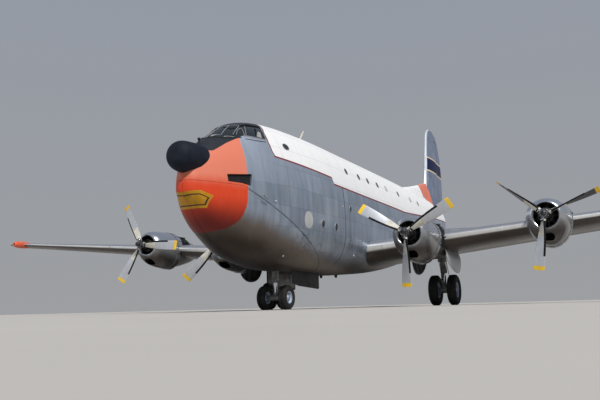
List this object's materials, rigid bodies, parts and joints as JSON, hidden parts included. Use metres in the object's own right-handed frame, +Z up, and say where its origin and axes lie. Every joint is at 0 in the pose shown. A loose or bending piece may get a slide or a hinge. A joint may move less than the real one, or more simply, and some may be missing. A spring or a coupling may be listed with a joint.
{
  "type": "military transport plane, 1:2 scale model",
  "caption": "Half-scale model of a four-engined propeller transport plane with a tall double-deck body, nose doors under a round radome and a low wing.",
  "frame": {"origin": "on the floor under the middle of the plane's length and span", "axes": "+X to the plane's left (port), +Y aft, +Z up"},
  "size_m": [26.535, 19.875, 7.36],
  "materials": {
    "bare_metal": "bare weathered aluminium skin",
    "black_radome": "matt black",
    "cabin_floor": "worn grey-green",
    "dark_panel": "matt black",
    "seat_fabric": "olive cloth",
    "window_glass": "dark tinted glazing",
    "orange_paint": "faded orange-red",
    "polished_cowl": "polished aluminium",
    "engine_metal": "oily dark grey",
    "tail_paint": "silver-grey",
    "gear_steel": "grey enamel",
    "propeller_metal": "grey paint with yellow tips",
    "wheel_paint": "light blue-grey",
    "tyre": "worn black rubber"
  },
  "bodies": {
    "airframe": {"fuselage_forward": "bare_metal", "fuselage_centre": "bare_metal", "fuselage_tail": "bare_metal", "radome": "black_radome", "cargo_floor": "cabin_floor", "flight_deck": "cabin_floor", "instrument_panel": "dark_panel", "pilot_seat_left": "seat_fabric", "pilot_seat_right": "seat_fabric", "cockpit_glazing": "window_glass", "wing_left": "bare_metal", "wing_right": "bare_metal", "heater_pod_left": "orange_paint", "heater_pod_right": "orange_paint", "nacelle_1": "polished_cowl", "engine_1": "engine_metal", "nacelle_2": "polished_cowl", "engine_2": "engine_metal", "nacelle_3": "polished_cowl", "engine_3": "engine_metal", "nacelle_4": "polished_cowl", "engine_4": "engine_metal", "fin": "tail_paint", "stabiliser_left": "bare_metal", "stabiliser_right": "bare_metal", "nose_leg": "gear_steel", "nose_gear_door_left": "bare_metal", "nose_gear_door_right": "bare_metal", "main_leg_left": "gear_steel", "main_gear_door_outer_left": "bare_metal", "main_gear_door_inner_left": "bare_metal", "main_leg_right": "gear_steel", "main_gear_door_outer_right": "bare_metal", "main_gear_door_inner_right": "bare_metal"},
    "propeller_1": {"propeller_1": "propeller_metal"},
    "propeller_2": {"propeller_2": "propeller_metal"},
    "propeller_3": {"propeller_3": "propeller_metal"},
    "propeller_4": {"propeller_4": "propeller_metal"},
    "nose_fork": {"nose_fork": "gear_steel"},
    "nose_wheels": {"nose_wheels": "wheel_paint", "nose_tyre_left": "tyre", "nose_tyre_right": "tyre"},
    "main_wheels_left": {"main_wheels_left": "wheel_paint", "main_tyre_outer_left": "tyre", "main_tyre_inner_left": "tyre"},
    "main_wheels_right": {"main_wheels_right": "wheel_paint", "main_tyre_outer_right": "tyre", "main_tyre_inner_right": "tyre"},
    "nose_door_left": {"nose_door_left": "orange_paint"},
    "nose_door_right": {"nose_door_right": "orange_paint"},
    "rudder": {"rudder": "tail_paint"},
    "elevator_left": {"elevator_left": "bare_metal"},
    "elevator_right": {"elevator_right": "bare_metal"},
    "aileron_left": {"aileron_left": "bare_metal"},
    "aileron_right": {"aileron_right": "bare_metal"},
    "flap_left": {"flap_left": "bare_metal"},
    "flap_right": {"flap_right": "bare_metal"}
  },
  "joints": [
    {"name": "propeller_1_spin", "type": "hinge", "parent": "airframe", "child": "propeller_1", "pos_m": [5.675, -3.7125, 2], "axis": [0, 1, 0], "continuous": true},
    {"name": "propeller_2_spin", "type": "hinge", "parent": "airframe", "child": "propeller_2", "pos_m": [2.625, -4.4125, 1.73], "axis": [0, 1, 0], "continuous": true},
    {"name": "propeller_3_spin", "type": "hinge", "parent": "airframe", "child": "propeller_3", "pos_m": [-2.625, -4.4125, 1.73], "axis": [0, 1, 0], "continuous": true},
    {"name": "propeller_4_spin", "type": "hinge", "parent": "airframe", "child": "propeller_4", "pos_m": [-5.675, -3.7125, 2], "axis": [0, 1, 0], "continuous": true},
    {"name": "nose_steering", "type": "hinge", "parent": "airframe", "child": "nose_fork", "pos_m": [0, -6.0225, 0.5], "axis": [0, 0, 1], "range_deg": [-55, 55]},
    {"name": "nose_wheels_spin", "type": "hinge", "parent": "nose_fork", "child": "nose_wheels", "pos_m": [0, -6.0225, 0.275], "axis": [1, 0, 0], "continuous": true},
    {"name": "main_wheels_left_spin", "type": "hinge", "parent": "airframe", "child": "main_wheels_left", "pos_m": [2.625, -0.9625, 0.415], "axis": [1, 0, 0], "continuous": true},
    {"name": "main_wheels_right_spin", "type": "hinge", "parent": "airframe", "child": "main_wheels_right", "pos_m": [-2.625, -0.9625, 0.415], "axis": [1, 0, 0], "continuous": true},
    {"name": "nose_door_left_swing", "type": "hinge", "parent": "airframe", "child": "nose_door_left", "pos_m": [0.865, -8.4125, 2.3744], "axis": [-0.098, -0.9179, 0.3846], "range_deg": [0, 85]},
    {"name": "nose_door_right_swing", "type": "hinge", "parent": "airframe", "child": "nose_door_right", "pos_m": [-0.865, -8.4125, 2.3744], "axis": [-0.098, 0.9179, -0.3846], "range_deg": [0, 85]},
    {"name": "rudder_swing", "type": "hinge", "parent": "airframe", "child": "rudder", "pos_m": [0, 8.6875, 5], "axis": [0, 0, 1], "range_deg": [-25, 25]},
    {"name": "elevator_left_swing", "type": "hinge", "parent": "airframe", "child": "elevator_left", "pos_m": [0.49, 8.6915, 2.93919], "axis": [-0.9996, -0.0286, 0.0004], "range_deg": [-20, 25]},
    {"name": "elevator_right_swing", "type": "hinge", "parent": "airframe", "child": "elevator_right", "pos_m": [-0.49, 8.6915, 2.93919], "axis": [-0.9996, 0.0286, -0.0004], "range_deg": [-20, 25]},
    {"name": "aileron_left_swing", "type": "hinge", "parent": "airframe", "child": "aileron_left", "pos_m": [8.8, -0.86061, 2.12318], "axis": [-0.9947, 0.0366, -0.0957], "range_deg": [-18, 18]},
    {"name": "aileron_right_swing", "type": "hinge", "parent": "airframe", "child": "aileron_right", "pos_m": [-8.8, -0.86061, 2.12318], "axis": [-0.9947, -0.0366, 0.0957], "range_deg": [-18, 18]},
    {"name": "flap_left_swing", "type": "hinge", "parent": "airframe", "child": "flap_left", "pos_m": [1.375, -0.58714, 1.41066], "axis": [-0.9948, 0.0366, -0.0955], "range_deg": [0, 40]},
    {"name": "flap_right_swing", "type": "hinge", "parent": "airframe", "child": "flap_right", "pos_m": [-1.375, -0.58714, 1.41066], "axis": [-0.9948, -0.0366, 0.0955], "range_deg": [0, 40]}
  ],
  "couplings": [
    {"joint": "elevator_right_swing", "follows": "elevator_left_swing", "ratio": 1},
    {"joint": "aileron_right_swing", "follows": "aileron_left_swing", "ratio": -1},
    {"joint": "flap_right_swing", "follows": "flap_left_swing", "ratio": 1}
  ]
}
